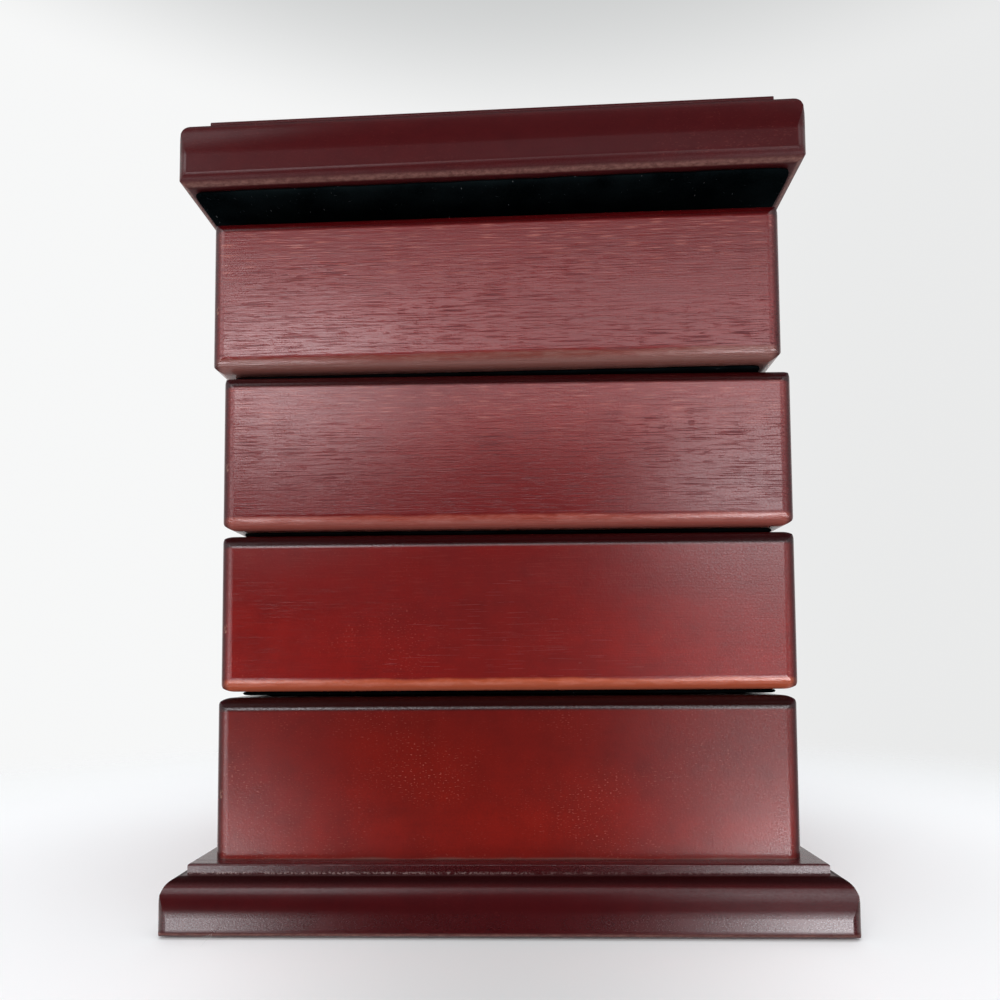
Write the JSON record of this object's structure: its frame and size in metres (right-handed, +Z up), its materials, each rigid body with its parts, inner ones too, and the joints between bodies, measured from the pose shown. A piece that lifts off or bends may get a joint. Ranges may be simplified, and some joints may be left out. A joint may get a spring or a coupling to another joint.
{
  "type": "swivel jewelry box",
  "caption": "Tiered square jewelry box in dark red wood; the felt-lined trays and the moulded lid swivel sideways on one corner pivot above a moulded base.",
  "frame": {"origin": "middle of the underside of the base felt", "axes": "+Z up, the front faces -Y, +X to the right as seen from the front; the pivot is at the rear left"},
  "size_m": [0.1582, 0.1582, 0.1984],
  "materials": {
    "mahogany_moulding": "satin lacquer",
    "black_felt": "felt",
    "steel": "zinc plated",
    "brass": "turned",
    "ring_roll_velvet": "velvet over foam",
    "mahogany_boards": "satin lacquer",
    "black_velvet": "velvet",
    "tray_floor": "plain sawn ply",
    "pivot_block": "satin lacquer"
  },
  "bodies": {
    "base": {"base_board": "mahogany_moulding", "base_felt_sheet": "black_felt", "tray_4_back": "mahogany_boards", "tray_4_bush": "brass", "tray_4_floor": "tray_floor", "tray_4_front": "mahogany_boards", "tray_4_left": "mahogany_boards", "tray_4_lining": "black_velvet", "tray_4_pivot_block": "pivot_block", "tray_4_right": "mahogany_boards", "tray_4_washer": "steel"},
    "tray_3": {"tray_3_back": "mahogany_boards", "tray_3_bush": "brass", "tray_3_cross_divider": "black_velvet", "tray_3_felt": "black_felt", "tray_3_floor": "tray_floor", "tray_3_front": "mahogany_boards", "tray_3_left": "mahogany_boards", "tray_3_lining": "black_velvet", "tray_3_pivot_block": "pivot_block", "tray_3_right": "mahogany_boards", "tray_3_washer": "steel"},
    "tray_2": {"tray_2_back": "mahogany_boards", "tray_2_bush": "brass", "tray_2_cross_divider": "black_velvet", "tray_2_felt": "black_felt", "tray_2_floor": "tray_floor", "tray_2_front": "mahogany_boards", "tray_2_left": "mahogany_boards", "tray_2_lining": "black_velvet", "tray_2_long_divider": "black_velvet", "tray_2_pivot_block": "pivot_block", "tray_2_right": "mahogany_boards", "tray_2_washer": "steel"},
    "tray_1": {"lid_spacer": "steel", "ring_rolls": "ring_roll_velvet", "tray_1_back": "mahogany_boards", "tray_1_back_divider": "black_velvet", "tray_1_bush": "brass", "tray_1_cross_divider": "black_velvet", "tray_1_felt": "black_felt", "tray_1_floor": "tray_floor", "tray_1_front": "mahogany_boards", "tray_1_left": "mahogany_boards", "tray_1_lining": "black_velvet", "tray_1_pivot_block": "pivot_block", "tray_1_right": "mahogany_boards"},
    "lid": {"head_washer": "steel", "lid_board": "mahogany_moulding", "lid_felt": "black_felt", "lid_insert": "brass", "pivot_bolt": "steel"}
  },
  "joints": [
    {"name": "tray_3_swing", "type": "hinge", "parent": "base", "child": "tray_3", "pos_m": [-0.051, 0.051, 0.0741], "axis": [0, 0, -1], "continuous": true},
    {"name": "tray_2_swing", "type": "hinge", "parent": "base", "child": "tray_2", "pos_m": [-0.051, 0.051, 0.1137], "axis": [0, 0, -1], "continuous": true},
    {"name": "tray_1_swing", "type": "hinge", "parent": "base", "child": "tray_1", "pos_m": [-0.051, 0.051, 0.1533], "axis": [0, 0, -1], "continuous": true},
    {"name": "lid_swing", "type": "hinge", "parent": "base", "child": "lid", "pos_m": [-0.051, 0.051, 0.1867], "axis": [0, 0, -1], "continuous": true}
  ]
}
